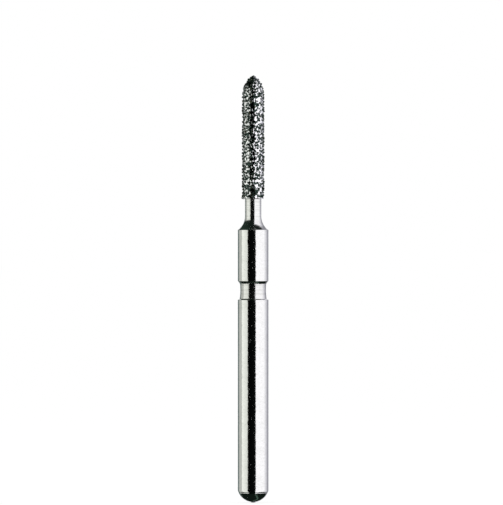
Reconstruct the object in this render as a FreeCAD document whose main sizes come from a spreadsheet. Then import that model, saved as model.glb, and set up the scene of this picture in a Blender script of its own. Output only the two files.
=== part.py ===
"""A diamond dental bur with a friction-grip shank and a torpedo head.

Three pieces, as the real tool is made: a turned steel blank, the nickel that is
plated on its head, and the diamond grains that the nickel holds. Millimetres.
+Z runs along the axis towards the cutting tip. The origin is on the axis, where
the straight shank that the chuck grips begins and the rounded butt ends.
"""

import FreeCAD, Part
import math
import os
import random

import Sketcher
from FreeCAD import Vector

doc = FreeCAD.newDocument("dental_bur")

# Driving dimensions
SIZES = {
    "rod_diameter": 1.60,
    "shank_length": 9.85,
    "butt_height": 0.61,
    "butt_edge_round": 0.15,
    "pip_diameter": 0.36,
    "pip_height": 0.021,
    "pip_round": 0.03,
    "ring_width": 1.05,
    "ring_depth": 0.108,
    "ring_wall_angle": 50,
    "ring_hollow_round": 4.5,
    "ring_floor_round": 0.20,
    "ring_edge_round": 0.05,
    "collar_length": 2.65,
    "collar_edge_round": 0.03,
    "shoulder_angle": 52,
    "neck_diameter": 0.85,
    "neck_length": 1.305,
    "neck_round": 0.88,
    "cutting_length": 5.46,
    "core_diameter": 0.95,
    "core_tip_length": 0.93,
    "core_nose_round": 0.06,
    "bond_thickness": 0.06,
    "bond_edge_round": 0.045,
    "rim_height": 0.07,
    "grain_width": 0.13,
    "grain_gap": 0.015,
    "grain_height": 0.066,
}

sheet = doc.addObject("Spreadsheet::Sheet", "Sizes")
for row, (alias, size) in enumerate(SIZES.items(), start=1):
    sheet.set(f"A{row}", alias)
    sheet.set(f"B{row}", str(size))
    sheet.setAlias(f"B{row}", alias)
doc.recompute()

# Radii and levels along the axis, as expressions on the sheet
ROD = "Sizes.rod_diameter / 2"
NECK = "Sizes.neck_diameter / 2"
CORE = "Sizes.core_diameter / 2"
BOND = f"({CORE} + Sizes.bond_thickness)"
BUTT_ROUND = f"((({ROD})^2 + Sizes.butt_height^2) / (2 * Sizes.butt_height))"
BUTT_EDGE = f"(Sizes.butt_edge_round * tan(acos({ROD} / {BUTT_ROUND}) / 2))"
BUTT_END = f"({BUTT_EDGE} + Sizes.butt_height)"
PIP_FOOT = f"({BUTT_END} + Sizes.pip_height)"
RING_FOOT = "Sizes.shank_length"
RING_TOP = f"({RING_FOOT} + Sizes.ring_width)"
COLLAR_TOP = f"({RING_TOP} + Sizes.collar_length)"
SHOULDER = f"(({ROD} - {NECK}) / sin(Sizes.shoulder_angle))"
NECK_FOOT = f"({COLLAR_TOP} + {SHOULDER} * cos(Sizes.shoulder_angle))"
HEAD_FOOT = f"({NECK_FOOT} + Sizes.neck_length)"
TIP_FOOT = f"({HEAD_FOOT} + Sizes.cutting_length)"
RING_FLOOR = f"({ROD} - Sizes.ring_depth)"
RING_SLOPE = "(Sizes.ring_depth / tan(Sizes.ring_wall_angle))"
OGIVE_ROUND = f"((Sizes.core_tip_length^2 + ({CORE})^2) / Sizes.core_diameter)"


def value(expression):
    """The present value of an expression on the sheet."""
    return float(sheet.evalExpression(expression))


def half_section(body, name):
    """An empty sketch in the body's XZ plane, where the axis of the tool is vertical."""
    plane = next(item for item in body.Origin.OriginFeatures if item.Role == "XZ_Plane")
    sketch = body.newObject("Sketcher::SketchObject", name)
    sketch.AttachmentSupport = [(plane, "")]
    sketch.MapMode = "FlatFace"
    return sketch


def constrain(sketch, *terms, expression=None):
    """Add one constraint, and bind its value to the sheet where it has one."""
    if expression is None:
        return sketch.addConstraint(Sketcher.Constraint(*terms))
    index = sketch.addConstraint(Sketcher.Constraint(*terms, value(expression)))
    sketch.setExpression(f"Constraints[{index}]", expression)
    return index


def polyline(sketch, corners, closed=False):
    """Straight edges through corners, each corner held at a radius and a level."""
    spots = [Vector(value(radius), value(level), 0) for radius, level in corners]
    edges = []
    for index in range(len(corners) - 1):
        edges.append(sketch.addGeometry(Part.LineSegment(spots[index], spots[index + 1])))
    for before, after in zip(edges, edges[1:]):
        constrain(sketch, "Coincident", before, 2, after, 1)
    if closed:
        edges.append(sketch.addGeometry(Part.LineSegment(spots[-1], spots[0])))
        constrain(sketch, "Coincident", edges[-2], 2, edges[-1], 1)
        constrain(sketch, "Coincident", edges[-1], 2, edges[0], 1)
    ends = [(edges[0], 1)] + [(edge, 2) for edge in edges[: len(corners) - 1]]
    for (edge, end), (radius, level) in zip(ends, corners):
        constrain(sketch, "DistanceX", -1, 1, edge, end, expression=radius)
        constrain(sketch, "DistanceY", -1, 1, edge, end, expression=level)
    return edges


def torpedo_tip(sketch, side, offset):
    """An ogive tangent to the top of a straight side, closed by a round nose on the axis."""
    ogive_round = f"{OGIVE_ROUND} + {offset}"
    nose_round = f"Sizes.core_nose_round + {offset}"
    foot = value(TIP_FOOT)
    middle = value(f"{CORE} - {OGIVE_ROUND}")
    reach = value(ogive_round) - value(nose_round)
    turn = math.acos(-middle / reach)
    nose_level = foot + reach * math.sin(turn)
    flat = Vector(0, 0, 1)
    ogive_circle = Part.Circle(Vector(middle, foot, 0), flat, value(ogive_round))
    nose_circle = Part.Circle(Vector(0, nose_level, 0), flat, value(nose_round))
    ogive = sketch.addGeometry(Part.ArcOfCircle(ogive_circle, 0, turn))
    nose = sketch.addGeometry(Part.ArcOfCircle(nose_circle, turn, math.pi / 2))
    constrain(sketch, "Tangent", side, 2, ogive, 1)
    constrain(sketch, "Radius", ogive, expression=ogive_round)
    constrain(sketch, "Tangent", ogive, 2, nose, 1)
    constrain(sketch, "Radius", nose, expression=nose_round)
    constrain(sketch, "PointOnObject", nose, 3, -2)
    constrain(sketch, "PointOnObject", nose, 2, -2)
    return nose


def turn_section(body, kind, name, sketch):
    """Carry a half section once round the axis, to add metal or to cut it."""
    feature = body.newObject(f"PartDesign::{kind}", name)
    feature.Profile = sketch
    feature.ReferenceAxis = (sketch, ["V_Axis"])
    feature.Angle = 360
    body.Tip = feature
    doc.recompute()
    return feature


def round_edges(body, name, places, radius):
    """Round the circular edges that lie at the given radii and levels."""
    base = body.Tip
    wanted = [(value(ring), value(level)) for ring, level in places]
    names = []
    for index, edge in enumerate(base.Shape.Edges, start=1):
        if edge.Degenerated or not isinstance(edge.Curve, Part.Circle):
            continue
        spot = (edge.Curve.Radius, edge.Curve.Center.z)
        if any(math.dist(spot, place) < 1e-4 for place in wanted):
            names.append(f"Edge{index}")
    if len(names) != len(places):
        raise RuntimeError(f"{name}: found {len(names)} edges of {len(places)}")
    fillet = body.newObject("PartDesign::Fillet", name)
    fillet.Base = (base, names)
    fillet.Radius = value(radius)
    fillet.setExpression("Radius", radius)
    body.Tip = fillet
    doc.recompute()


# The blank is one piece, turned from a steel rod: butt, shank, ring groove, collar, neck and core
blank = doc.addObject("PartDesign::Body", "steel_blank")
outline = half_section(blank, "blank_outline")
corners = [
    (ROD, f"-{BUTT_EDGE}"),
    (ROD, COLLAR_TOP),
    (NECK, NECK_FOOT),
    (NECK, HEAD_FOOT),
    (CORE, HEAD_FOOT),
    (CORE, TIP_FOOT),
]
edges = polyline(outline, corners)
nose = torpedo_tip(outline, edges[-1], "0")
butt_centre = Vector(0, value(f"{BUTT_ROUND} - {BUTT_END}"), 0)
butt_circle = Part.Circle(butt_centre, Vector(0, 0, 1), value(BUTT_ROUND))
butt_side = -math.acos(value(f"{ROD} / {BUTT_ROUND}"))
butt = outline.addGeometry(Part.ArcOfCircle(butt_circle, -math.pi / 2, butt_side))
constrain(outline, "PointOnObject", butt, 3, -2)
constrain(outline, "Coincident", butt, 2, edges[0], 1)
constrain(outline, "PointOnObject", butt, 1, -2)
constrain(outline, "Radius", butt, expression=BUTT_ROUND)
axis = outline.addGeometry(Part.LineSegment(outline.getPoint(nose, 2), outline.getPoint(butt, 1)))
constrain(outline, "Coincident", nose, 2, axis, 1)
constrain(outline, "Coincident", axis, 2, butt, 1)
turn_section(blank, "Revolution", "turned_outline", outline)

# The ring groove is the place of a colour band, left bare, with sloping walls and a hollow floor
ring = half_section(blank, "ring_section")
beyond = f"({ROD} + Sizes.ring_depth)"
ring_corners = [
    (RING_FLOOR, f"{RING_TOP} - {RING_SLOPE}"),
    (beyond, f"{RING_TOP} + {RING_SLOPE}"),
    (beyond, f"{RING_FOOT} - {RING_SLOPE}"),
    (RING_FLOOR, f"{RING_FOOT} + {RING_SLOPE}"),
]
ring_sides = polyline(ring, ring_corners)
hollow = value("Sizes.ring_hollow_round")
half_floor = value(f"Sizes.ring_width / 2 - {RING_SLOPE}")
bend = math.asin(half_floor / hollow)
hollow_centre = Vector(
    value(RING_FLOOR) + hollow * math.cos(bend), value(f"{RING_FOOT} + Sizes.ring_width / 2"), 0
)
hollow_circle = Part.Circle(hollow_centre, Vector(0, 0, 1), hollow)
floor = ring.addGeometry(Part.ArcOfCircle(hollow_circle, math.pi - bend, math.pi + bend))
constrain(ring, "Coincident", floor, 1, ring_sides[0], 1)
constrain(ring, "Coincident", floor, 2, ring_sides[-1], 2)
constrain(ring, "Radius", floor, expression="Sizes.ring_hollow_round")
turn_section(blank, "Groove", "ring_groove", ring)

# The parting pip is what the cut-off tool leaves in the middle of the butt
pip = half_section(blank, "pip_section")
pip_corners = [
    ("0", "0"),
    ("0", f"-{PIP_FOOT}"),
    ("Sizes.pip_diameter / 2", f"-{PIP_FOOT}"),
    ("Sizes.pip_diameter / 2", "0"),
]
polyline(pip, pip_corners, closed=True)
turn_section(blank, "Revolution", "parting_pip", pip)

# Each round is held inside the wall that it runs along
ring_wall = "Sizes.ring_depth / sin(Sizes.ring_wall_angle) / tan(Sizes.ring_wall_angle / 2)"
round_edges(
    blank,
    "neck_fillet",
    [(NECK, NECK_FOOT)],
    f"min(Sizes.neck_round; min(0.9 * {SHOULDER}; 0.8 * Sizes.neck_length) / tan(Sizes.shoulder_angle / 2))",
)
round_edges(
    blank,
    "butt_edge",
    [(ROD, f"-{BUTT_EDGE}")],
    f"min(Sizes.butt_edge_round; 0.8 * {ROD})",
)
round_edges(blank, "shoulder_edge", [(ROD, COLLAR_TOP)], "Sizes.collar_edge_round")
round_edges(
    blank,
    "ring_floor_rounds",
    [(RING_FLOOR, f"{RING_FOOT} + {RING_SLOPE}"), (RING_FLOOR, f"{RING_TOP} - {RING_SLOPE}")],
    f"min(Sizes.ring_floor_round; 0.6 * {ring_wall})",
)
round_edges(
    blank,
    "ring_edge_rounds",
    [(ROD, RING_FOOT), (ROD, RING_TOP)],
    f"min(Sizes.ring_edge_round; 0.3 * {ring_wall})",
)
round_edges(
    blank,
    "pip_edge",
    [("Sizes.pip_diameter / 2", f"-{PIP_FOOT}")],
    "min(Sizes.pip_round; 0.8 * Sizes.pip_height)",
)

# The nickel is plated on the core: one even layer, open at the neck, with a rounded rim
bond = doc.addObject("PartDesign::Body", "nickel_bond")
layer = half_section(bond, "layer_section")
outer = polyline(layer, [(CORE, HEAD_FOOT), (BOND, HEAD_FOOT), (BOND, TIP_FOOT)])
outer_nose = torpedo_tip(layer, outer[-1], "Sizes.bond_thickness")
inner_spots = [Vector(value(CORE), value(level), 0) for level in (HEAD_FOOT, TIP_FOOT)]
inner = layer.addGeometry(Part.LineSegment(*inner_spots))
constrain(layer, "Coincident", inner, 1, outer[0], 1)
constrain(layer, "Vertical", inner)
constrain(layer, "DistanceY", -1, 1, inner, 2, expression=TIP_FOOT)
inner_nose = torpedo_tip(layer, inner, "0")
wall = layer.addGeometry(
    Part.LineSegment(layer.getPoint(outer_nose, 2), layer.getPoint(inner_nose, 2))
)
constrain(layer, "Coincident", wall, 1, outer_nose, 2)
constrain(layer, "Coincident", wall, 2, inner_nose, 2)
turn_section(bond, "Revolution", "plated_layer", layer)
round_edges(
    bond,
    "rim_round",
    [(BOND, HEAD_FOOT)],
    "min(Sizes.bond_edge_round; 0.8 * Sizes.bond_thickness)",
)


class BondSkin:
    """The outer face of the nickel, measured along its outline from the head's foot."""

    def __init__(self):
        self.radius = value(BOND)
        self.foot = value(HEAD_FOOT)
        self.straight = value("Sizes.cutting_length")
        self.ogive = value(f"{OGIVE_ROUND} + Sizes.bond_thickness")
        self.nose = value("Sizes.core_nose_round + Sizes.bond_thickness")
        self.offset = self.ogive - self.radius
        self.turn = math.acos(self.offset / (self.ogive - self.nose))
        self.length = self.straight + self.ogive * self.turn + self.nose * (math.pi / 2 - self.turn)

    def place(self, way):
        """Radius, level and slope of the face's normal at a way along the outline."""
        top = self.foot + self.straight
        if way <= self.straight:
            return self.radius, self.foot + way, 0.0
        angle = (way - self.straight) / self.ogive
        if angle <= self.turn:
            return (
                self.ogive * math.cos(angle) - self.offset,
                top + self.ogive * math.sin(angle),
                angle,
            )
        angle = self.turn + (way - self.straight - self.ogive * self.turn) / self.nose
        centre = top + (self.ogive - self.nose) * math.sin(self.turn)
        return self.nose * math.cos(angle), centre + self.nose * math.sin(angle), angle

    def area(self, way):
        """Area of the face between the foot and a way along the outline, over one turn."""
        total = self.radius * min(way, self.straight)
        angle = min(max((way - self.straight) / self.ogive, 0.0), self.turn)
        total += self.ogive * (self.ogive * math.sin(angle) - self.offset * angle)
        rest = max(way - self.straight - self.ogive * self.turn, 0.0)
        angle = self.turn + rest / self.nose
        total += self.nose**2 * (math.sin(angle) - math.sin(self.turn))
        return 2 * math.pi * total

    def way_at(self, area):
        """The way along the outline below which the face has the given area."""
        low, high = 0.0, self.length
        for _ in range(50):
            middle = (low + high) / 2
            if self.area(middle) < area:
                low = middle
            else:
                high = middle
        return (low + high) / 2


# How the grains differ: smallest width and height, lean of the point, slope and share of broken tops
SMALLEST = 0.78
LOWEST = 0.6
LEAN = 0.2
TILT = 0.25
BROKEN = 0.4
POINT_SHARE = 1.9

# Grains thrown for each square of the spacing; one that lands too near another is lost
THROWS = 10


def crystal(width, height, sides, lean, tilt=None):
    """The part of a grain that stands out: a leaning pyramid, pointed or with a broken top."""
    flat = []
    for index in range(sides):
        angle = 2 * math.pi * (index + 0.5) / sides
        flat.append(Vector(width / 2 * math.cos(angle), width / 2 * math.sin(angle), 0))
    pairs = [(index, (index + 1) % sides) for index in range(sides)]
    if tilt is None:
        point = Vector(lean.x, lean.y, height)
        rims = [flat] + [[flat[one], flat[other], point] for one, other in pairs]
    else:
        point = Vector(lean.x, lean.y, POINT_SHARE * height)
        top = []
        for corner in flat:
            rise = tilt.dot(corner)
            share = (height + rise) / (point.z + rise - tilt.dot(lean))
            top.append(corner + (point - corner) * share)
        rims = [flat, top] + [[flat[one], flat[other], top[other], top[one]] for one, other in pairs]
    faces = [Part.Face(Part.makePolygon(rim + rim[:1])) for rim in rims]
    return Part.Solid(Part.Shell(faces))


def thrown_seats(skin, chance):
    """Seats scattered at random by area over the bond, each clear of all the others."""
    width = value("Sizes.grain_width")
    spacing = width + value("Sizes.grain_gap")
    first = skin.area(value("Sizes.rim_height") + width / 2)
    free = skin.area(skin.length) - first
    seats = []
    for _ in range(round(THROWS * free / spacing**2)):
        radius, level, slope = skin.place(skin.way_at(first + free * chance.random()))
        around = 2 * math.pi * chance.random()
        spot = (radius * math.cos(around), radius * math.sin(around), level)
        if all(math.dist(spot, other) > spacing for other, _, _ in seats):
            seats.append((spot, around, slope))
    return seats


def grain_solids():
    """One crystal on each seat, turned and broken at random, its base tangent to the bond."""
    width = value("Sizes.grain_width")
    height = value("Sizes.grain_height")
    chance = random.Random(5)
    solids = []
    for spot, around, slope in thrown_seats(BondSkin(), chance):
        size = width * chance.uniform(SMALLEST, 1.0)
        rise = height * chance.uniform(LOWEST, 1.0)
        lean = Vector(chance.uniform(-1, 1), chance.uniform(-1, 1), 0) * LEAN * size
        tilt = Vector(chance.uniform(-1, 1), chance.uniform(-1, 1), 0) * TILT
        broken = chance.random() < BROKEN
        solid = crystal(size, rise, chance.choice((4, 5, 5, 6)), lean, tilt if broken else None)
        spin = FreeCAD.Rotation(Vector(0, 0, 1), chance.uniform(0, 360))
        stand = FreeCAD.Rotation(Vector(0, 1, 0), 90 - math.degrees(slope))
        turn = FreeCAD.Rotation(Vector(0, 0, 1), math.degrees(around))
        solid.Placement = FreeCAD.Placement(Vector(*spot), turn * stand * spin)
        solids.append(solid)
    return solids


# The grains are one layer of broken diamond, each seated on the nickel
grains = doc.addObject("Part::Feature", "diamond_grains")
grains.Shape = Part.makeCompound(grain_solids())
grains.Placement = FreeCAD.Placement()

doc.recompute()
for item in doc.Objects:
    if "Invalid" in item.State or "Error" in item.State:
        raise RuntimeError(f"{item.Label} failed: {item.State}")

os.makedirs("parts", exist_ok=True)
for piece in (blank, bond, grains):
    if piece.Shape.isNull() or not piece.Shape.isValid():
        raise RuntimeError(f"{piece.Label} has no valid shape")
for piece in (blank, bond, grains):
    piece.Shape.exportStep(f"parts/{piece.Label}.step")
    print(f"{piece.Label}: {len(piece.Shape.Solids)} solids, {piece.Shape.Volume:.4f} mm3")
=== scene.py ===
import math

import bpy
import numpy as np
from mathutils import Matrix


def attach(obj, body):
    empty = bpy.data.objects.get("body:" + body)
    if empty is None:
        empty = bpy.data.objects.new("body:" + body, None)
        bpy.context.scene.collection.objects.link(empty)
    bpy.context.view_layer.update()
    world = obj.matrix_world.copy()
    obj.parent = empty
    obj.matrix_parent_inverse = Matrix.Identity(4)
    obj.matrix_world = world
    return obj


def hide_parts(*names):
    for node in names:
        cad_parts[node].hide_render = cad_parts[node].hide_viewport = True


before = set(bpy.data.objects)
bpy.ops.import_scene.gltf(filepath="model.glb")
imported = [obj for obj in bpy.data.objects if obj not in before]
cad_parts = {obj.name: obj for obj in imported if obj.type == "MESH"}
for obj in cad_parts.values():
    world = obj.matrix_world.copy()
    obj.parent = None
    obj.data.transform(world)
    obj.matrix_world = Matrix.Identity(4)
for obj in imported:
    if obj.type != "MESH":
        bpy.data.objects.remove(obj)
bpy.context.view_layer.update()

# The blank: one bar of stainless steel, turned to the rounded butt, ring groove, shoulder and neck, then
# centreless ground over the shank. Its core runs on inside the head, where the nickel holds to it, and a
# little pip is left on the butt where the bar was parted off. Sizes are in mm, angles in degrees.
MM = 0.001
SHANK_RADIUS = 0.80
BUTT_HEIGHT = 0.61
BUTT_EDGE_ROUND = 0.15
BUTT_LINE_LEVEL = -0.125
BUTT_LINE_WIDTH = 0.016
BUTT_LINE_DEPTH = 0.0035
PIP_RADIUS = 0.20
PIP_FLANK = 0.13
PIP_HEIGHT = 0.021
RING_FOOT = 9.911
RING_TOP = 10.885
RING_DEPTH = 0.108
RING_HOLLOW = 0.024
RING_FLOOR_ROUND = 0.06
RING_WALL_ROUND = 0.02
RING_EDGE_ROUND = 0.016
LOWER_WALL_SLOPE = 2.2
LOWER_RAMP_SLOPE = 0.22
LOWER_RAMP_DEPTH = 0.095
UPPER_WALL_SLOPE = 0.9
BELOW_RING = 0.05
ABOVE_RING = 0.06
RUN_GAP = 0.02
COLLAR_TOP = 13.55
COLLAR_ROUND = 0.03
SHOULDER_ANGLE = 52.0
NECK_RADIUS = 0.425
NECK_ROUND = 0.88
NECK_LENGTH = 1.305
CUTTING_LENGTH = 5.46
CORE_RADIUS = 0.475
CORE_TIP_LENGTH = 0.93
CORE_NOSE = 0.06
CORE_STEP = 0.05
BUTT_ROUND = (SHANK_RADIUS ** 2 + BUTT_HEIGHT ** 2) / (2.0 * BUTT_HEIGHT)
BUTT_TURN = math.degrees(math.acos(SHANK_RADIUS / BUTT_ROUND))
BUTT_END = -BUTT_HEIGHT - BUTT_EDGE_ROUND * math.tan(math.radians(BUTT_TURN / 2.0))
PIP_FOOT = BUTT_END - PIP_HEIGHT
NECK_FOOT = COLLAR_TOP + (SHANK_RADIUS - NECK_RADIUS) / math.tan(math.radians(SHOULDER_ANGLE))
HEAD_FOOT = NECK_FOOT + NECK_LENGTH
OGIVE_FOOT = HEAD_FOOT + CUTTING_LENGTH
OGIVE_ROUND = (CORE_TIP_LENGTH ** 2 + CORE_RADIUS ** 2) / (2.0 * CORE_RADIUS)
OGIVE_CENTRE = CORE_RADIUS - OGIVE_ROUND
OGIVE_ANGLE = math.degrees(math.acos(-OGIVE_CENTRE / (OGIVE_ROUND - CORE_NOSE)))
NOSE_CENTRE = OGIVE_FOOT + (OGIVE_ROUND - CORE_NOSE) * math.sin(math.radians(OGIVE_ANGLE))
FINE_MARKS_PER_MM = 34.0
BROAD_MARKS_PER_MM = 9.0
STEEL_COLOUR = (0.80, 0.79, 0.775, 1.0)
STEEL_STAIN = (0.66, 0.655, 0.63, 1.0)


def arc(centre, radius, start, end, steps):
    """Points (r, z) on a circle of that radius about centre, the angle going evenly from start to end."""
    angle = np.radians(np.linspace(start, end, steps))
    return np.stack([centre[0] + radius * np.cos(angle), centre[1] + radius * np.sin(angle)], 1)


def run(start, end, steps):
    """Points (r, z) evenly along the straight line from start to end."""
    share = np.linspace(0.0, 1.0, steps)[:, None]
    return (1.0 - share) * np.array(start) + share * np.array(end)


def blended(first, second, reach):
    """The lesser of two heights, with the corner between them rounded over that reach."""
    share = np.clip(0.5 + 0.5 * (second - first) / reach, 0.0, 1.0)
    return second + (first - second) * share - reach * share * (1.0 - share)


def torpedo(side, nose, rows, nose_rows):
    """A torpedo tip's outline (r, z): an ogive arc about a centre beyond the axis, then a nose arc about a
    centre on it. Side is the radius at the ogive's foot, and nose is the nose's."""
    ogive = arc((OGIVE_CENTRE, OGIVE_FOOT), side - OGIVE_CENTRE, 0.0, OGIVE_ANGLE, rows)
    cap = arc((0.0, NOSE_CENTRE), nose, OGIVE_ANGLE, 90.0, nose_rows)
    return np.concatenate([ogive, cap[1:]])


def meshed(name, points, faces):
    """A mesh of those faces, whose corners are points in mm."""
    mesh = bpy.data.meshes.new(name)
    mesh.from_pydata(points * MM, [], faces)
    mesh.update()
    return mesh


def placed(name, data):
    """The object in the scene that shows a mesh or holds a lamp or camera."""
    thing = bpy.data.objects.new(name, data)
    bpy.context.scene.collection.objects.link(thing)
    return thing


def turned(name, outline, around, shift=0.0):
    """A surface of revolution: point (i, j) is outline point i turned by 2 pi j / around about Z.

    The first and last outline points lie on the axis and become one vertex each. Shift adds a vector to
    every grid point. The faces point to the right of the outline's way, which is outward going upwards."""
    radius = outline[:, 0][:, None]
    turn = np.linspace(0.0, 2.0 * np.pi, around, endpoint=False)[None, :]
    level = outline[:, 1][:, None] + 0.0 * turn
    grid = np.stack([radius * np.cos(turn), radius * np.sin(turn), level], 2) + shift
    ends = np.array([grid[0].mean(0), grid[-1].mean(0)])
    points = np.concatenate([grid[1:-1].reshape(-1, 3), ends])
    rings = len(outline) - 2
    index = np.arange(rings * around).reshape(rings, around)
    beside = np.roll(index, -1, 1)
    quads = np.stack([index[:-1], beside[:-1], beside[1:], index[1:]], 2).reshape(-1, 4)
    low = np.stack([np.full(around, rings * around), beside[0], index[0]], 1)
    high = np.stack([np.full(around, rings * around + 1), index[-1], beside[-1]], 1)
    mesh = meshed(name, points, quads.tolist() + low.tolist() + high.tolist())
    mesh.polygons.foreach_set("use_smooth", np.ones(len(mesh.polygons), bool))
    return placed(name, mesh)


class Port:
    """An output of a node. Sums, differences and products of ports and numbers add Math nodes."""

    def __init__(self, finish, socket):
        self.finish = finish
        self.socket = socket

    def math(self, operation, *terms):
        return self.finish.add("ShaderNodeMath", {"operation": operation}, dict(enumerate(terms)))

    def __add__(self, other):
        return self.math("ADD", self, other)

    def __sub__(self, other):
        return self.math("SUBTRACT", self, other)

    def __rsub__(self, other):
        return self.math("SUBTRACT", other, self)

    def __mul__(self, other):
        return self.math("MULTIPLY", self, other)

    __radd__ = __add__
    __rmul__ = __mul__

    def over(self, low, high):
        """A smooth step from 0 at low to 1 at high, or the other way round where low is the larger."""
        first, last = (0.0, 1.0) if low < high else (1.0, 0.0)
        values = {"Value": self, "From Min": min(low, high), "From Max": max(low, high)}
        values.update({"To Min": first, "To Max": last})
        return self.finish.add("ShaderNodeMapRange", {"interpolation_type": "SMOOTHSTEP"}, values)


class Finish:
    """The nodes of a material or of the world, which owns them. Every node comes from add."""

    def __init__(self, owner):
        self.owner = owner
        owner.use_nodes = True
        self.tree = owner.node_tree
        self.tree.nodes.clear()

    def add(self, kind, settings=None, values=None, output=0):
        """A node of that kind: first its settings, then its sockets, each linked where the value is a port
        and else set. Gives back one of its outputs, if it has any."""
        node = self.tree.nodes.new(kind)
        for name, setting in (settings or {}).items():
            setattr(node, name, setting)
        for name, value in (values or {}).items():
            if isinstance(value, Port):
                self.tree.links.new(value.socket, node.inputs[name])
            else:
                node.inputs[name].default_value = value
        return Port(self, node.outputs[output]) if node.outputs else None

    def vector(self, operation, values, output=0):
        return self.add("ShaderNodeVectorMath", {"operation": operation}, values, output)

    def millimetres(self):
        """The place on the piece, in mm."""
        place = self.add("ShaderNodeTexCoord", output="Object")
        return self.vector("SCALE", {"Vector": place, "Scale": 1.0 / MM})

    def parts(self, vector):
        split = self.add("ShaderNodeSeparateXYZ", values={"Vector": vector})
        return [Port(self, split.socket.node.outputs[axis]) for axis in range(3)]

    def joined(self, x, y, z):
        return self.add("ShaderNodeCombineXYZ", values={"X": x, "Y": y, "Z": z})

    def noise(self, vector, scale, detail, roughness):
        values = {"Vector": vector, "Scale": scale, "Detail": detail, "Roughness": roughness}
        return self.add("ShaderNodeTexNoise", {}, values)

    def mix(self, share, first, second):
        return self.add("ShaderNodeMix", {"data_type": "RGBA"}, {0: share, 6: first, 7: second}, 2)

    def bump(self, height, strength, depth):
        """The normal over a relief that is depth mm deep where height is 1."""
        values = {"Height": height, "Strength": strength, "Distance": depth * MM}
        return self.add("ShaderNodeBump", {}, values)

    def surface(self, shader, kind="ShaderNodeOutputMaterial"):
        """The material or world itself, once its output has that shader."""
        self.add(kind, {}, {"Surface": shader})
        return self.owner


def blank_outline():
    """The blank's outline (r, z), from the pip up round the butt, groove, collar and neck to the core's foot.

    The butt is a ball's cap with its edge rounded. The pip is a smooth swelling of it near the axis, and a
    shallow line runs round it below the edge. The groove's depth at a level is the least of four: a steep
    lower wall's, the gentle ramp's above it, a slanting upper wall's and a hollow floor's, with the corners
    between them rounded. The shoulder is a straight slope that a hollow round joins to the neck."""
    edge_turn = math.degrees(math.acos((SHANK_RADIUS - BUTT_EDGE_ROUND) / (BUTT_ROUND - BUTT_EDGE_ROUND)))
    cap = arc((0.0, BUTT_END + BUTT_ROUND), BUTT_ROUND, -90.0, -edge_turn, 90)
    swell = np.clip((PIP_RADIUS - cap[:, 0]) / PIP_FLANK, 0.0, 1.0)
    cap[:, 1] -= PIP_HEIGHT * swell * swell * (3.0 - 2.0 * swell)
    cap[:, 0] -= BUTT_LINE_DEPTH * np.exp(-((cap[:, 1] - BUTT_LINE_LEVEL) / BUTT_LINE_WIDTH) ** 2)
    edge = arc((SHANK_RADIUS - BUTT_EDGE_ROUND, 0.0), BUTT_EDGE_ROUND, -edge_turn, 0.0, 6)[1:]
    shank = run((SHANK_RADIUS, 0.0), (SHANK_RADIUS, RING_FOOT - BELOW_RING - RUN_GAP), 28)[1:]

    level = np.linspace(RING_FOOT - BELOW_RING, RING_TOP + ABOVE_RING, 110)
    middle = 0.5 * (RING_FOOT + RING_TOP)
    half = 0.5 * (RING_TOP - RING_FOOT)
    floor_depth = RING_DEPTH + RING_HOLLOW * (1.0 - ((level - middle) / half) ** 2)
    ramp = LOWER_RAMP_DEPTH + LOWER_RAMP_SLOPE * (level - RING_FOOT)
    lower = blended(LOWER_WALL_SLOPE * (level - RING_FOOT), ramp, RING_WALL_ROUND)
    walls = blended(lower, UPPER_WALL_SLOPE * (RING_TOP - level), RING_WALL_ROUND)
    depth = -blended(-blended(walls, floor_depth, RING_FLOOR_ROUND), 0.0 * level, RING_EDGE_ROUND)
    groove = np.stack([SHANK_RADIUS - depth, level], 1)

    collar_foot = RING_TOP + ABOVE_RING + RUN_GAP
    collar = run((SHANK_RADIUS, collar_foot), (SHANK_RADIUS, COLLAR_TOP - COLLAR_ROUND), 10)
    tangent = math.tan(math.radians(SHOULDER_ANGLE / 2.0))
    corner_centre = (SHANK_RADIUS - COLLAR_ROUND, COLLAR_TOP - COLLAR_ROUND * tangent)
    corner = arc(corner_centre, COLLAR_ROUND, 0.0, SHOULDER_ANGLE, 6)
    fillet_centre = (NECK_RADIUS + NECK_ROUND, NECK_FOOT + NECK_ROUND * tangent)
    fillet = arc(fillet_centre, NECK_ROUND, 180.0 + SHOULDER_ANGLE, 180.0, 40)
    neck = run((NECK_RADIUS, fillet_centre[1]), (NECK_RADIUS, HEAD_FOOT + CORE_STEP), 12)[1:]
    return np.concatenate([cap, edge, shank, groove, collar, corner, fillet, neck])


core_side = run((CORE_RADIUS, HEAD_FOOT + CORE_STEP), (CORE_RADIUS, OGIVE_FOOT), 6)[:-1]
core_tip = torpedo(CORE_RADIUS, CORE_NOSE, 8, 4)
blank = turned("turned_blank", np.concatenate([blank_outline(), core_side, core_tip]), 160)

# Ground steel is nearly a mirror, with faint stains and specks. The lathe's marks show where it is only
# turned: on the groove's floor and from the collar's edge up.
steel = Finish(bpy.data.materials.new("ground_stainless_steel"))
mm = steel.millimetres()
x, y, z = steel.parts(mm)
across = steel.vector("LENGTH", {"Vector": steel.joined(x, y, 0.0)}, "Value")
in_groove = z.over(0.0, RING_FOOT) * z.over(COLLAR_TOP, RING_TOP)
groove_floor = in_groove * across.over(SHANK_RADIUS - 0.015, SHANK_RADIUS - 0.05)
turned_part = z.over(COLLAR_TOP - 0.05, COLLAR_TOP + 0.01) + groove_floor
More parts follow.
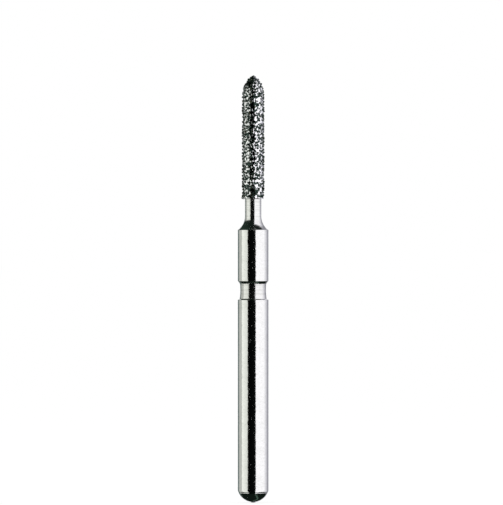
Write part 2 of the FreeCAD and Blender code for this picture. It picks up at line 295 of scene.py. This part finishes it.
# The marks are noise drawn out round the part, and on the shoulder they follow its slope
along_outline = z + 0.6 * across
fine_rings = steel.joined(0.3 * x, 0.3 * y, FINE_MARKS_PER_MM * along_outline)
broad_rings = steel.joined(0.12 * x, 0.12 * y, BROAD_MARKS_PER_MM * along_outline)
drawn_out = steel.joined(0.6 * x, 0.6 * y, z)
fine_marks = steel.noise(fine_rings, scale=1.0, detail=3.0, roughness=0.6)
broad_marks = steel.noise(broad_rings, scale=1.0, detail=2.0, roughness=0.5)
patches = steel.noise(mm, scale=1.6, detail=3.0, roughness=0.55)
ripple = steel.noise(drawn_out, scale=6.0, detail=2.0, roughness=0.6)
mottle = steel.noise(drawn_out, scale=11.0, detail=2.0, roughness=0.7)
specks = steel.noise(mm, scale=20.0, detail=1.0, roughness=0.4).over(0.76, 0.80)
clouded = 0.3 * patches.over(0.45, 0.75) + 0.5 * mottle.over(0.35, 0.75) + 0.5 * specks
stains_and_painted_shade = clouded + turned_part * (0.05 + 1.1 * broad_marks.over(0.45, 0.62))
lathe_marks = fine_marks * (0.35 + 0.65 * turned_part) + broad_marks * (0.25 + 0.75 * turned_part)
relief = lathe_marks - 7.0 * specks + 5.0 * ripple
steel_shader = steel.add("ShaderNodeBsdfPrincipled", {}, {
    "Base Color": steel.mix(stains_and_painted_shade, STEEL_COLOUR, STEEL_STAIN),
    "Metallic": 1.0,
    "Roughness": 0.05 + 0.08 * fine_marks + 0.04 * patches + 0.06 * turned_part,
    "Normal": steel.bump(relief, strength=0.35, depth=0.004),
})
blank.data.materials.append(steel.surface(steel_shader))
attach(blank, "root")
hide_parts("steel_blank")

# The nickel: bright nickel plated out of a bath over the core, which grows up round each grain and holds it
# by a small fillet. It ends in a smooth, slightly wavy rim that closes on the neck, with one nodule on it.
BOND_RADIUS = 0.535
BOND_NOSE = 0.12
BOND_AROUND = 208
SIDE_ROWS = 236
OGIVE_ROWS = 46
NOSE_ROWS = 8
RIM_ROUND = 0.016
RIM_SEAT = 0.025
RIM_BLEND = 0.14
RIM_SWELL = 0.006
RIM_SWELL_WAVES = ((0.25, 0.6), 20, 5)
RIM_LIFT = 0.030
RIM_LIFT_WAVES = ((0.20, 0.6), 24, 6)
FILLET_HEIGHT = 0.023
FILLET_REACH = 0.085
FILLET_SINK = 0.35
SMALL_RELIEF = 0.0035
SMALL_WAVES = ((0.10, 0.30), 40, 3)
FINE_RELIEF = 0.0015
FINE_WAVES = ((0.05, 0.09), 40, 4)
BROAD_RELIEF = 0.005
BROAD_WAVES = ((0.30, 0.65), 40, 7)
NODULE = (-0.525, -0.09, 15.215)
NODULE_HEIGHT = 0.10
NODULE_REACH = 0.055
NICKEL_COLOUR = (0.93, 0.915, 0.925, 1.0)
# Painted shade: the dark green-grey that the nickel's colour goes to where shade is painted in
NICKEL_PAINTED_SHADE = (0.036, 0.055, 0.047, 1.0)


def grain_seats():
    """Each CAD grain's seat on the nickel's outline, and the nickel's outward direction there, in mm.

    Corners at one place are counted as one, and each takes the least number among its triangle's corners
    until nothing changes, which numbers the grains. A seat is the grain's mean point carried to the
    outline, away from the hub that the outline is drawn about there: the axis, or the ogive's or nose's
    centre."""
    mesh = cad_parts["diamond_grains"].data
    mesh.calc_loop_triangles()
    corners = np.zeros(3 * len(mesh.loop_triangles), int)
    mesh.loop_triangles.foreach_get("vertices", corners)
    places = np.zeros(3 * len(mesh.vertices))
    mesh.vertices.foreach_get("co", places)
    spots, same = np.unique(np.round(places.reshape(-1, 3) / MM, 4), axis=0, return_inverse=True)
    faces = same.reshape(-1)[corners].reshape(-1, 3)
    number = np.arange(len(spots))
    settled = False
    while not settled:
        lower = number.copy()
        np.minimum.at(lower, faces.reshape(-1), np.repeat(number[faces].min(1), 3))
        settled = (lower == number).all()
        number = lower
    member = np.unique(number, return_inverse=True)[1]
    count = np.bincount(member)
    middle = np.stack([np.bincount(member, spots[:, axis]) / count for axis in range(3)], 1)
    radius = np.hypot(middle[:, 0], middle[:, 1])
    level = middle[:, 2]
    ogive_slope = np.arctan2(level - OGIVE_FOOT, radius - OGIVE_CENTRE)
    on_side = level < OGIVE_FOOT
    on_nose = ogive_slope > math.radians(OGIVE_ANGLE)
    slope = np.where(on_nose, np.arctan2(level - NOSE_CENTRE, radius), ogive_slope)
    slope = np.where(on_side, 0.0, slope)
    hub_radius = np.where(on_side | on_nose, 0.0, OGIVE_CENTRE)
    hub_level = np.where(on_side, level, np.where(on_nose, NOSE_CENTRE, OGIVE_FOOT))
    reach = np.where(on_side, BOND_RADIUS, np.where(on_nose, BOND_NOSE, BOND_RADIUS - OGIVE_CENTRE))
    outward = middle[:, :2] / radius[:, None]
    away = np.concatenate([outward * np.cos(slope)[:, None], np.sin(slope)[:, None]], 1)
    seat_radius = (hub_radius + reach * np.cos(slope))[:, None]
    seat_level = (hub_level + reach * np.sin(slope))[:, None]
    return np.concatenate([outward * seat_radius, seat_level], 1), away


def waves(points, wavelengths, count, seed):
    """Smooth noise, mostly from -1 to 1: count plane waves of random directions, phases and lengths between
    the two wavelengths, added up and scaled to a standard deviation of a half."""
    chance = np.random.default_rng(seed)
    ways = chance.normal(size=(count, 3))
    ways /= np.linalg.norm(ways, axis=1)[:, None]
    numbers = 2.0 * np.pi / chance.uniform(*wavelengths, count)
    phases = chance.uniform(0.0, 2.0 * np.pi, count)
    return np.cos(points @ (ways * numbers[:, None]).T + phases).sum(-1) * math.sqrt(2.0 / count) * 0.5


def nickel_layer(seats):
    """The nickel's outline (r, z) and the shift of its grid.

    The outline goes down the core, in to the neck, out to the rim and up the outside to the tip. Only the
    outside is shifted, along its own normal: by a bell-shaped hill about the nearest grain, less a share of
    it, and by three sets of waves. Near the foot slow waves take over, which also lift the rim, and the
    nodule is one more hill."""
    neck_wall = run((NECK_RADIUS, HEAD_FOOT + CORE_STEP), (NECK_RADIUS, HEAD_FOOT + RIM_SEAT), 2)
    inside = np.concatenate([core_tip[::-1], core_side[::-1], neck_wall])
    lip = arc((BOND_RADIUS - RIM_ROUND, HEAD_FOOT + RIM_ROUND), RIM_ROUND, -90.0, 0.0, 6)
    side = run((BOND_RADIUS, HEAD_FOOT + RIM_ROUND), (BOND_RADIUS, OGIVE_FOOT), SIDE_ROWS)[1:-1]
    skin = np.concatenate([lip, side, torpedo(BOND_RADIUS, BOND_NOSE, OGIVE_ROWS, NOSE_ROWS)])
    ogive_slope = np.linspace(0.0, OGIVE_ANGLE, OGIVE_ROWS)
    nose_slope = np.linspace(OGIVE_ANGLE, 90.0, NOSE_ROWS)[1:]
    slope = np.concatenate([np.zeros(len(lip) + len(side)), ogive_slope, nose_slope])
    slope = np.radians(slope)[:, None, None]
    turn = np.linspace(0.0, 2.0 * np.pi, BOND_AROUND, endpoint=False)
    outward = np.stack([np.cos(turn), np.sin(turn), 0.0 * turn], 1)
    upward = np.array([0.0, 0.0, 1.0])
    points = skin[:, 0][:, None, None] * outward + skin[:, 1][:, None, None] * upward
    normal = np.cos(slope) * outward + np.sin(slope) * upward

    # The distances from every point to every seat would fill the memory, so they come in blocks of rows
    blocks = np.array_split(points, len(points) // 20)
    near = [np.linalg.norm(rows[:, :, None, :] - seats, axis=3).min(2) for rows in blocks]
    lift = FILLET_HEIGHT * (np.exp(-(np.concatenate(near) / FILLET_REACH) ** 2) - FILLET_SINK)
    lift += SMALL_RELIEF * waves(points, *SMALL_WAVES) + FINE_RELIEF * waves(points, *FINE_WAVES)
    lift += BROAD_RELIEF * waves(points, *BROAD_WAVES)
    foot = 1.0 - np.clip((skin[:, 1] - HEAD_FOOT) / RIM_BLEND, 0.0, 1.0)[:, None]
    lift = lift * (1.0 - foot) + foot * RIM_SWELL * (1.0 + waves(points, *RIM_SWELL_WAVES))
    from_nodule = np.linalg.norm(points - np.array(NODULE), axis=2)
    lift += NODULE_HEIGHT * np.exp(-(from_nodule / NODULE_REACH) ** 2)
    shift = np.zeros((len(inside) + len(skin), BOND_AROUND, 3))
    shift[len(inside):] = normal * lift[:, :, None]
    shift[len(inside):, :, 2] += foot * RIM_LIFT * (1.0 + waves(points, *RIM_LIFT_WAVES))
    return np.concatenate([inside, skin]), shift


seats, away = grain_seats()
bond_outline, bond_shift = nickel_layer(seats)
bond = turned("plated_nickel", bond_outline, BOND_AROUND, bond_shift)

# The nickel is bright and beaded. Shade is painted into its colour, which goes a nearly black green-grey in
# clouds and round spots above the rim, and on and round the nodule.
nickel = Finish(bpy.data.materials.new("bright_plated_nickel"))
mm = nickel.millimetres()
cloud = nickel.noise(mm, scale=6.5, detail=2.0, roughness=0.6)
fine = nickel.noise(mm, scale=38.0, detail=2.0, roughness=0.6)
beads = nickel.noise(mm, scale=15.0, detail=1.0, roughness=0.5)
spots = nickel.add("ShaderNodeTexVoronoi", {}, {"Vector": mm, "Scale": 7.0})
from_nodule = nickel.vector("DISTANCE", {0: mm, 1: NODULE}, "Value")
above_rim = nickel.parts(mm)[2].over(HEAD_FOOT + 0.03, HEAD_FOOT + 0.10)
bright = cloud.over(0.53, 0.505) * spots.over(0.32, 0.39)
# Painted shade: clouds and round spots above the rim, and the nodule and round it, darken the nickel's colour
stains_and_painted_shade = (1.0 - bright) * above_rim + 0.72 * from_nodule.over(0.16, 0.09)
nickel_shader = nickel.add("ShaderNodeBsdfPrincipled", {}, {
    "Base Color": nickel.mix(stains_and_painted_shade, NICKEL_COLOUR, NICKEL_PAINTED_SHADE),
    "Metallic": 1.0,
    "Roughness": 0.04 + 0.12 * fine,
    "Normal": nickel.bump(beads + 0.12 * fine + 0.2 * cloud, strength=0.6, depth=0.024),
})
bond.data.materials.append(nickel.surface(nickel_shader))
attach(bond, "root")
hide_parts("nickel_bond")

# The grit: one layer of dark diamond grains, blocky crystals with eight corners cut off, laid down in the
# bath and held half sunk by the nickel. No two are of one size or shape, and they are smaller on the tip.
GRAIN_HALF = 0.069
GRAIN_SIZES = (0.80, 1.08)
GRAIN_STRETCH = (0.76, 1.20)
CORNER_MOVE = (-0.16, 0.10)
SEAT_RISE = (-0.12, 0.28)
TIP_SHRINK = 0.25
TIP_REACH = 0.6
GRAIN_COLOUR = (0.010, 0.015, 0.013, 1.0)
GRAIN_TINT = (0.075, 0.07, 0.035, 1.0)
GRAIN_SHINE = (0.62, 1.0, 0.80, 1.0)


def grit(name, seats, away, seed):
    """Cuboctahedra, one a seat: the twelve corners (0, +-1, +-1) / sqrt 2, in each order of the axes, are
    moved in or out, stretched, turned at random and set on the seat, a little above or below the nickel.

    The six squares face along the axes and the eight triangles along the diagonals. A face has the corners
    that reach furthest its way, put in order round it, and is cut into triangles."""
    chance = np.random.default_rng(seed)
    count = len(seats)
    signs = np.array([(-1, -1), (-1, 1), (1, -1), (1, 1)])
    corners = np.concatenate([np.insert(signs, axis, 0, 1) for axis in range(3)]) / math.sqrt(2.0)
    from_centre = corners * (1.0 + chance.uniform(*CORNER_MOVE, (count, len(corners), 1)))
    from_centre = from_centre * chance.uniform(*GRAIN_STRETCH, (count, 1, 3))
    turns = np.linalg.qr(chance.normal(size=(count, 3, 3)))[0]
    turns[:, 0] *= np.sign(np.linalg.det(turns))[:, None]
    size = GRAIN_HALF * chance.uniform(*GRAIN_SIZES, (count, 1, 1))
    up_tip = np.clip((seats[:, 2] - OGIVE_FOOT) / TIP_REACH, 0.0, 1.0)
    size *= (1.0 - TIP_SHRINK * up_tip)[:, None, None]
    rise = chance.uniform(*SEAT_RISE, (count, 1)) * GRAIN_HALF
    points = np.einsum("gij,gpj->gpi", turns, from_centre) * size + (seats + away * rise)[:, None, :]

    axes = np.repeat(np.eye(3), 2, 0) * np.tile([-1.0, 1.0], 3)[:, None]
    diagonals = np.array(np.meshgrid([-1, 1], [-1, 1], [-1, 1])).T.reshape(-1, 3)
    triangles = []
    for way in np.concatenate([axes, diagonals]):
        reach = corners @ way
        face = np.flatnonzero(reach > reach.max() - 0.01)
        spokes = corners[face] - corners[face].mean(0)
        face = face[np.argsort(np.arctan2(spokes @ np.cross(way, spokes[0]), spokes @ spokes[0]))]
        triangles += [(face[0], face[k], face[k + 1]) for k in range(1, len(face) - 1)]
    of_all = np.array(triangles) + len(corners) * np.arange(count)[:, None, None]
    return placed(name, meshed(name, points.reshape(-1, 3), of_all.reshape(-1, 3).tolist()))


grains = grit("diamond_grit", seats, away, 11)

diamond = Finish(bpy.data.materials.new("dark_diamond"))
mm = diamond.millimetres()
tint = diamond.noise(mm, scale=7.0, detail=1.0, roughness=0.5).over(0.5, 0.75)
worn = diamond.noise(mm, scale=30.0, detail=2.0, roughness=0.6)
broken = diamond.noise(mm, scale=45.0, detail=2.0, roughness=0.6)
diamond_shader = diamond.add("ShaderNodeBsdfPrincipled", {}, {
    "Base Color": diamond.mix(tint, GRAIN_COLOUR, GRAIN_TINT),
    "Roughness": 0.16 + 0.2 * worn,
    "IOR": 1.5,
    "Specular Tint": GRAIN_SHINE,
    "Normal": diamond.bump(broken, strength=0.3, depth=0.005),
})
grains.data.materials.append(diamond.surface(diamond_shader))
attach(grains, "root")
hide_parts("diamond_grains")

# The studio: a white floor, which the bur stands on by its pip, soft light from all round, a lamp, and cards
# out of view. Polished steel shows only what stands round it, so the cards give it bright panels on the left
# and right, a black flag between them, sides and a back that grow dim, and a dark room.
FLOOR_LEVEL = PIP_FOOT - 0.002
FLOOR_REACH = 4000.0
FLOOR_GLOW = 0.86
FLOOR_COLOUR = (0.2, 0.2, 0.2, 1.0)
LIGHT_COLOUR = (1.0, 1.0, 1.0, 1.0)
SOFT_LIGHT = 0.7
BACKDROP_LIGHT = 1.0
LAMP_SIZE = 60.0
LAMP_POWER = 0.02
LAMP_PLACE = (-40.0, -30.0, 140.0)
LAMP_TURNS = (-13.0, -17.0, 0.0)
EYE_LEVEL = 11.0
ROOM_RADIUS = 320.0
CARD_RADIUS = 290.0
FLAG_RADIUS = 270.0
CARD_ROWS = 33
CARD_COLUMNS = 65
FLAG_LEFT = -41.6
FLAG_RIGHT = 19.7
WARM = (0.96, 1.0, 0.946)
COOL = (0.885, 0.89, 1.02)
WHITE = (0.975, 0.98, 1.015)
GREEN_GREY = (0.96, 1.0, 0.955)
TEAL = (0.68, 0.90, 0.84)
GREEN = (0.50, 0.88, 0.66)


def evenly(pair, share):
    """The value that share of the way from the first of a pair to the second."""
    return pair[0] + (pair[1] - pair[0]) * share


def reflector(name, sides, low, high, colours, strengths, fade, radius=CARD_RADIUS):
    """A card on a sphere round the bur that only shines in reflections: it isn't seen, and lights nothing.

    Sides are its two azimuths in degrees, 0 at the camera and 90 on the right. Low and high are the
    elevations of its lower and upper edge at each side, and go evenly from one side to the other, as its
    colour and strength do. Fade is the share of its height over which its upper edge dies away."""
    across = np.linspace(0.0, 1.0, CARD_COLUMNS)[None, :]
    up = np.linspace(0.0, 1.0, CARD_ROWS)[:, None]
    turn = np.radians(evenly(sides, across)) + 0.0 * up
    lift = np.radians(evenly((evenly(low, across), evenly(high, across)), up))
    right = radius * np.cos(lift) * np.sin(turn)
    back = -radius * np.cos(lift) * np.cos(turn)
    points = np.stack([right, back, EYE_LEVEL + radius * np.sin(lift)], 2).reshape(-1, 3)
    index = np.arange(CARD_ROWS * CARD_COLUMNS).reshape(CARD_ROWS, CARD_COLUMNS)
    quads = np.stack([index[:-1, :-1], index[:-1, 1:], index[1:, 1:], index[1:, :-1]], 2).reshape(-1, 4)
    card = placed(name, meshed(name, points, quads.tolist()))
    shares = np.stack([across + 0.0 * up, up + 0.0 * across], 2).reshape(-1, 2)
    layer = card.data.uv_layers.new(name="UVMap")
    layer.data.foreach_set("uv", shares[quads.reshape(-1)].astype(np.float32).reshape(-1))
    glow = Finish(bpy.data.materials.new(name))
    along, upward, _ = glow.parts(glow.add("ShaderNodeTexCoord", output="UV"))
    colour = glow.mix(along, (*colours[0], 1.0), (*colours[1], 1.0))
    strength = evenly(strengths, along) * upward.over(1.0, 1.0 - fade)
    light = glow.vector("SCALE", {"Vector": colour, "Scale": strength})
    shine = glow.add("ShaderNodeEmission", {}, {"Color": light, "Strength": 1.0})
    card.data.materials.append(glow.surface(shine))
    card.visible_camera = False
    card.visible_diffuse = False
    card.visible_transmission = False
    card.visible_shadow = False


# The room, with a green strip low down that the butt mirrors
reflector("dark_room", (-180, 180), (-90, -90), (90, 90), (GREEN, GREEN), (0.013, 0.013), 0.02, ROOM_RADIUS)
reflector("low_strip", (20, 95), (-66, -77), (-55, -67), (GREEN, GREEN), (0.10, 0.16), 0.3)
reflector("low_strip_behind", (95, 180), (-77, -60), (-67, -49), (GREEN, GREEN), (0.16, 0.12), 0.3)

# The flag at the camera's side, and on the left of it a panel that grows dim towards the back
flag_sides = (FLAG_LEFT, FLAG_RIGHT)
reflector("black_flag", flag_sides, (-54, -54), (24, 24), (TEAL, TEAL), (0.0, 0.004), 0.2, FLAG_RADIUS)
reflector("left_panel", (-93, FLAG_LEFT), (-33, -48), (24, 31), (WARM, WARM), (1.20, 0.90), 0.12)
reflector("left_grey", (-134, -93), (-26, -34), (16, 24), (GREEN_GREY, WARM), (0.55, 0.66), 0.12)
reflector("left_teal", (-180, -134), (-34, -26), (24, 18), (TEAL, TEAL), (0.12, 0.26), 0.2)
reflector("upper_left", (-175, -50), (18, 32), (88, 88), (GREEN, GREEN), (0.055, 0.012), 0.3)

# The panel on the right, which grows dim towards the back, and a white card behind the bur
reflector("right_panel", (FLAG_RIGHT, 88), (-49, -33), (66, 61), (WHITE, WHITE), (1.30, 1.28), 0.14)
reflector("right_fade", (88, 146), (-33, -20), (61, 54), (WHITE, COOL), (1.28, 0.34), 0.14)
reflector("back_grey", (146, 180), (-20, -34), (54, 54), (COOL, COOL), (0.34, 0.28), 0.14)
reflector("far_card", (163, 194), (-26, -26), (50, 50), (WHITE, WHITE), (0.9, 0.9), 0.3, FLAG_RADIUS)

floor_corners = FLOOR_REACH * np.array([(-1.0, -1.0), (1.0, -1.0), (1.0, 1.0), (-1.0, 1.0)])
floor_mesh = meshed("studio_floor", np.insert(floor_corners, 2, FLOOR_LEVEL, 1), [(0, 1, 2, 3)])
floor = placed("studio_floor", floor_mesh)
white = Finish(bpy.data.materials.new("white_floor"))
seen = white.add("ShaderNodeEmission", {}, {"Color": LIGHT_COLOUR, "Strength": FLOOR_GLOW})
matt = white.add("ShaderNodeBsdfDiffuse", {}, {"Color": FLOOR_COLOUR})
floor_mesh.materials.append(white.surface(white.add("ShaderNodeAddShader", {}, {0: seen, 1: matt})))
floor.visible_glossy = False

# Looked at, the world is plain white, and it lights the floor and the bur a little less
world = bpy.data.worlds.new("soft_light")
bpy.context.scene.world = world
sky = Finish(world)
kinds = ("Is Camera Ray", "Is Glossy Ray", "Is Transmission Ray")
of_camera, of_mirror, of_glass = [sky.add("ShaderNodeLightPath", output=kind) for kind in kinds]
soft = sky.add("ShaderNodeBackground", {}, {"Color": LIGHT_COLOUR, "Strength": SOFT_LIGHT})
plain = sky.add("ShaderNodeBackground", {}, {"Color": LIGHT_COLOUR, "Strength": BACKDROP_LIGHT})
backdrop = sky.add("ShaderNodeMixShader", {}, {0: of_camera + of_mirror + of_glass, 1: soft, 2: plain})
sky.surface(backdrop, "ShaderNodeOutputWorld")

lamp = bpy.data.lights.new("overhead_lamp", "AREA")
lamp.shape = "DISK"
lamp.size = LAMP_SIZE * MM
lamp.energy = LAMP_POWER
lamp_place = placed("overhead_lamp", lamp)
lamp_place.location = [length * MM for length in LAMP_PLACE]
lamp_place.rotation_euler = [math.radians(turn) for turn in LAMP_TURNS]
lamp_place.visible_glossy = False

# The camera stands level and square to the bur, and far off, as a long lens does for a small tool. The bur's
# foot and axis come where FOOT_ROW and AXIS_RIGHT_OF_CENTRE say, in pixels of the picture.
DISTANCE = 300.0
SENSOR = 36.0
NEAREST = 10.0
FURTHEST = 6000.0
PIXELS_PER_MM = 19.2
PICTURE_HEIGHT = 505.0
FOOT_ROW = 502.6
AXIS_RIGHT_OF_CENTRE = 1.65
camera = bpy.data.cameras.new("camera")
camera.sensor_width = SENSOR
camera.lens = SENSOR * DISTANCE / (PICTURE_HEIGHT / PIXELS_PER_MM)
camera.clip_start = NEAREST * MM
camera.clip_end = FURTHEST * MM
camera_place = placed("camera", camera)
camera_level = PIP_FOOT + (FOOT_ROW - PICTURE_HEIGHT / 2.0) / PIXELS_PER_MM
camera_place.location = (-AXIS_RIGHT_OF_CENTRE / PIXELS_PER_MM * MM, -DISTANCE * MM, camera_level * MM)
camera_place.rotation_euler = (math.radians(90.0), 0.0, 0.0)
bpy.context.scene.camera = camera_place

bpy.context.scene.view_settings.view_transform = "Standard"
